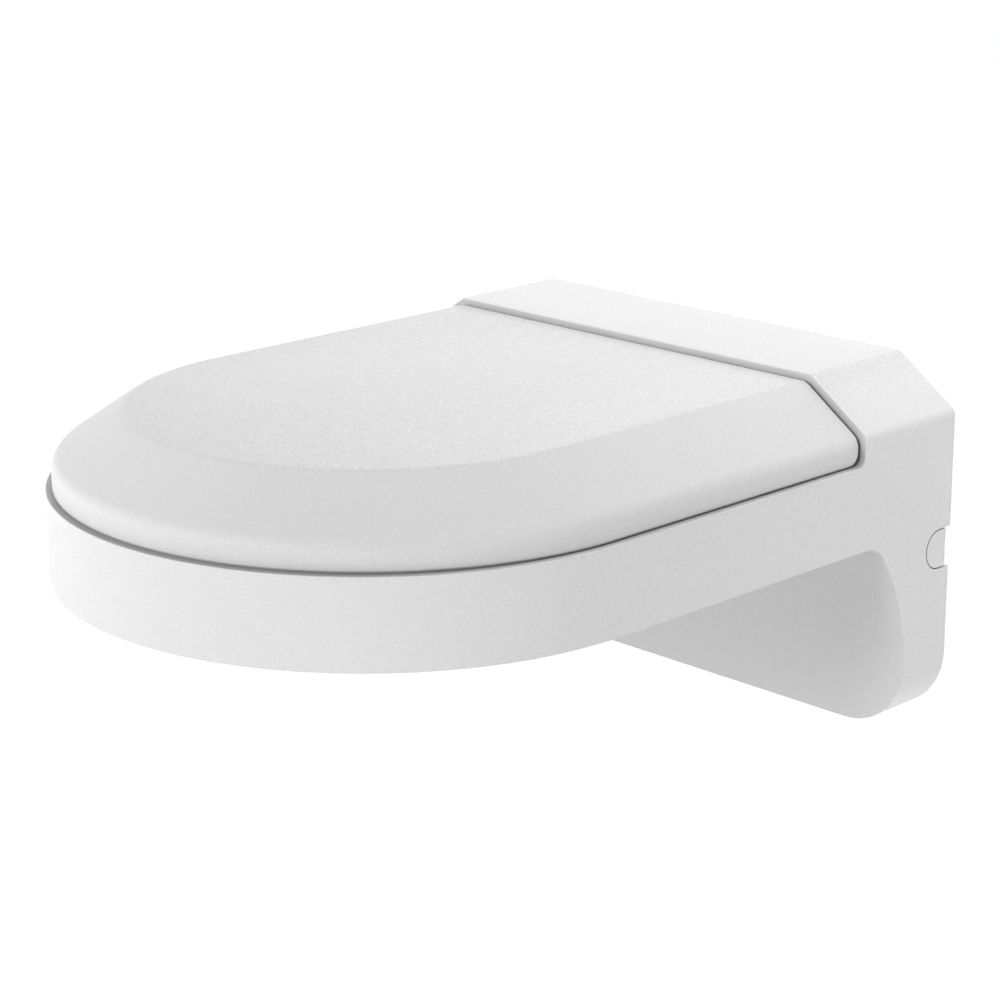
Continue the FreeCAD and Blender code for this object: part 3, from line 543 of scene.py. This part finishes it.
coverValues = {
    "mergeDistance": 0.000002,
    "flatAngle": 0.4,
    "flatsFirst": True,
    "edgeWidth": 0.00015,
    "edgeSegments": 2,
    "sharpAngle": 26.0,
    "smoothAngle": 50.0,
    # the edge colour is a painted highlight, and the crevice entries set painted shade in gaps
    "plastic": {"colour": (0.775, 0.775, 0.775), "edgeHighlightColour": (0.88, 0.88, 0.88),
                "grainScale": 2500.0, "grainContrast": 0.18, "sideGrain": 0.35,
                "cloudScale": 22.0, "cloudContrast": 0.015,
                "paintedShadeReach": 0.006, "paintedCreviceShade": 0.85, "paintedEdgeHighlight": 0.3,
                "roughness": 0.6, "specular": 0.3, "bump": 0.4},
}
coverPlastic = makePlastic("whiteMouldedCover", coverValues["plastic"])
cover = finishedCopy("top_cover", coverValues)
giveMaterial(cover, coverPlastic)
print("top cover finished with", len(cover.data.polygons), "faces")

plugValues = {
    "mergeDistance": 0.000002,
    "flatAngle": 0.4,
    "flatsFirst": True,
    "edgeWidth": 0.0002,
    "edgeSegments": 2,
    "sharpAngle": 26.0,
    "smoothAngle": 50.0,
    # the edge colour is a painted highlight, and the crevice entries set painted shade in gaps
    "plastic": {"colour": (0.79, 0.79, 0.79), "edgeHighlightColour": (0.86, 0.86, 0.86),
                "grainScale": 2600.0, "grainContrast": 0.18, "sideGrain": 0.35,
                "cloudScale": 40.0, "cloudContrast": 0.02,
                "paintedShadeReach": 0.006, "paintedCreviceShade": 0.85, "paintedEdgeHighlight": 0.3,
                "roughness": 0.52, "specular": 0.4, "bump": 0.3},
}
plugPlastic = makePlastic("whiteMouldedPlug", plugValues["plastic"])
for side in ("left", "right"):
    plug = finishedCopy("side_plug_" + side, plugValues)
    giveMaterial(plug, plugPlastic)
print("side plugs finished")

screwValues = {
    "mergeDistance": 0.000002,
    "flatAngle": 0.4,
    "flatsFirst": True,
    "edgeWidth": 0.00006,
    "edgeSegments": 2,
    "sharpAngle": 26.0,
    "smoothAngle": 50.0,
    "metal": {"colour": (0.62, 0.62, 0.64), "ringScale": 2600.0, "scratchScale": 1500.0,
              "roughness": 0.32, "bump": 0.3},
}
for side in ("left", "right"):
    low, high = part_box("cover_screw_" + side)
    screwValues["metal"]["centre"] = (low + high) / 2
    screwSteel = makeMetal("zincPlatedSteel_" + side, screwValues["metal"])
    screw = finishedCopy("cover_screw_" + side, screwValues)
    giveMaterial(screw, screwSteel)
print("cover screws finished")

insertValues = {
    "mergeDistance": 0.000002,
    "flatAngle": 0.4,
    "flatsFirst": True,
    "edgeWidth": 0.00008,
    "edgeSegments": 2,
    "sharpAngle": 26.0,
    "smoothAngle": 50.0,
    "metal": {"colour": (0.72, 0.53, 0.25), "ringScale": 2200.0, "scratchScale": 1300.0,
              "roughness": 0.3, "bump": 0.3},
}
for place in ("front_left", "front_right", "rear_left", "rear_right"):
    low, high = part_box("camera_insert_" + place)
    insertValues["metal"]["centre"] = (low + high) / 2
    insertBrass = makeMetal("turnedBrass_" + place, insertValues["metal"])
    insert = finishedCopy("camera_insert_" + place, insertValues)
    giveMaterial(insert, insertBrass)
print("camera inserts finished")


# floor, world, lamps and camera
stageValues = {
    "floorHeight": -0.90,
    "floorSize": 12.0,
    "floorColour": (0.86, 0.86, 0.86),
    "floorRoughness": 0.9,
    "whiteNear": 0.80,  # what the floor adds for the camera's own rays, so that it reads as white paper
    "whiteFar": 1.00,
    "shadowReach": 0.9,
    "worldLight": 0.0,
    "lampAim": (0.0, -0.08, -0.01),
}


def addSeenRays(tree, x, y):  # 1 for what the camera sees, straight or by gloss or glass
    rays = addNode(tree, "ShaderNodeLightPath", x, y)
    most = addNode(tree, "ShaderNodeMath", x + 200, y, operation="MAXIMUM")
    every = addNode(tree, "ShaderNodeMath", x + 400, y, operation="MAXIMUM")
    tree.links.new(rays.outputs["Is Camera Ray"], most.inputs[0])
    tree.links.new(rays.outputs["Is Glossy Ray"], most.inputs[1])
    tree.links.new(most.outputs[0], every.inputs[0])
    tree.links.new(rays.outputs["Is Transmission Ray"], every.inputs[1])
    return every


def makeFloorPaper():
    material, tree, shader, place = startMaterial("whitePaper")
    setInputs(shader, Base_Color=(*stageValues["floorColour"], 1.0),
              Roughness=stageValues["floorRoughness"])
    seen = addSeenRays(tree, -100, -200)
    strength = addNode(tree, "ShaderNodeMath", 460, -200, operation="MULTIPLY")
    away = addNode(tree, "ShaderNodeVectorMath", -100, -420, operation="LENGTH")
    fade = addNode(tree, "ShaderNodeMapRange", 120, -420)
    setInputs(fade, From_Min=0.0, From_Max=stageValues["shadowReach"], To_Min=stageValues["whiteNear"],
              To_Max=stageValues["whiteFar"])
    shine = addNode(tree, "ShaderNodeEmission", 620, -200)
    both = addNode(tree, "ShaderNodeAddShader", 800, -100)
    output = tree.nodes["Material Output"]
    output.location = (1000, 0)
    tree.links.new(place.outputs["Object"], away.inputs[0])
    tree.links.new(away.outputs["Value"], fade.inputs["Value"])
    tree.links.new(seen.outputs[0], strength.inputs[0])
    tree.links.new(fade.outputs["Result"], strength.inputs[1])
    tree.links.new(strength.outputs[0], shine.inputs["Strength"])
    tree.links.new(shader.outputs["BSDF"], both.inputs[0])
    tree.links.new(shine.outputs["Emission"], both.inputs[1])
    tree.links.new(both.outputs[0], output.inputs["Surface"])
    return material


def makeFloor():
    bpy.ops.object.select_all(action="DESELECT")
    bpy.ops.mesh.primitive_plane_add(size=stageValues["floorSize"],
                                     location=(0, 0, stageValues["floorHeight"]))
    floor = bpy.context.active_object
    floor.name = "paperFloor"
    floor.data.materials.append(makeFloorPaper())


def makeWorld():
    world = bpy.data.worlds.new("studioWorld")
    bpy.context.scene.world = world
    world.use_nodes = True
    tree = world.node_tree
    light = tree.nodes["Background"]
    setInputs(light, Color=(1.0, 1.0, 1.0, 1.0), Strength=stageValues["worldLight"])
    white = addNode(tree, "ShaderNodeBackground", 0, -200)
    setInputs(white, Color=(1.0, 1.0, 1.0, 1.0), Strength=1.0)
    seen = addSeenRays(tree, -400, 200)
    choose = addNode(tree, "ShaderNodeMixShader", 240, 0)
    tree.links.new(seen.outputs[0], choose.inputs[0])
    tree.links.new(light.outputs[0], choose.inputs[1])
    tree.links.new(white.outputs[0], choose.inputs[2])
    tree.links.new(choose.outputs[0], tree.nodes["World Output"].inputs["Surface"])


lampValues = {  # direction from the object, distance and size in metres, power in watts
    "frontLamp": {"direction": (0.0, -1.0, 0.15), "distance": 1.6, "size": 1.0, "power": 11.2},
    "frontHighLamp": {"direction": (0.0, -1.0, 0.5), "distance": 1.6, "size": 0.8, "power": 11.4},
    "leftFrontLamp": {"direction": (-1.0, -0.5, 0.05), "distance": 1.6, "size": 0.6, "power": 3.1},
    "leftLamp": {"direction": (-1.0, -0.1, 0.0), "distance": 1.4, "size": 0.9, "power": 3.9},
    "rearLeftLamp": {"direction": (-0.8, 0.7, 0.25), "distance": 1.6, "size": 1.0, "power": 5.0},
    "rearLamp": {"direction": (-0.2, 1.0, 0.3), "distance": 1.6, "size": 1.0, "power": 7.0},
    "lowRightLamp": {"direction": (1.0, 0.3, -0.3), "distance": 1.2, "size": 0.8, "power": 7.9},
    "boxLamp": {"direction": (0.1, 0.35, 1.0), "distance": 0.45, "size": 0.35, "power": 0.5},
    "nearRearLamp": {"direction": (0.45, 0.7, 1.0), "distance": 0.36, "size": 0.2, "power": 0.46},
}


def makeLamp(name, values):
    aim = Vector(stageValues["lampAim"])
    direction = Vector(values["direction"]).normalized()
    light = bpy.data.lights.new(name, "AREA")
    light.shape = "DISK"
    light.size = values["size"]
    light.energy = values["power"]
    lamp = bpy.data.objects.new(name, light)
    bpy.context.scene.collection.objects.link(lamp)
    lamp.location = aim + direction * values["distance"]
    lamp.rotation_euler = direction.to_track_quat("Z", "Y").to_euler()
    lamp.visible_camera = False


cameraValues = {
    "azimuth": 45.2108,
    "elevation": 15.0145,
    "location": (0.359436, -0.420395, 0.142495),
    "lens": 97.791,
    "sensor": 36.0,
    "shiftDown": -0.0816,
    "clipStart": 0.01,
    "clipEnd": 50.0,
}


def makeCamera():
    data = bpy.data.cameras.new("photoCamera")
    data.lens = cameraValues["lens"]
    data.sensor_width = cameraValues["sensor"]
    data.shift_y = cameraValues["shiftDown"]
    data.clip_start = cameraValues["clipStart"]
    data.clip_end = cameraValues["clipEnd"]
    camera = bpy.data.objects.new("photoCamera", data)
    bpy.context.scene.collection.objects.link(camera)
    camera.location = cameraValues["location"]
    tilt = radians(90.0 - cameraValues["elevation"])
    camera.rotation_euler = (tilt, 0.0, radians(cameraValues["azimuth"]))
    bpy.context.scene.camera = camera


makeFloor()
makeWorld()
for lampName, values in lampValues.items():
    makeLamp(lampName, values)
makeCamera()
bpy.context.scene.view_settings.view_transform = "Standard"
print("stage, lamps and camera ready")
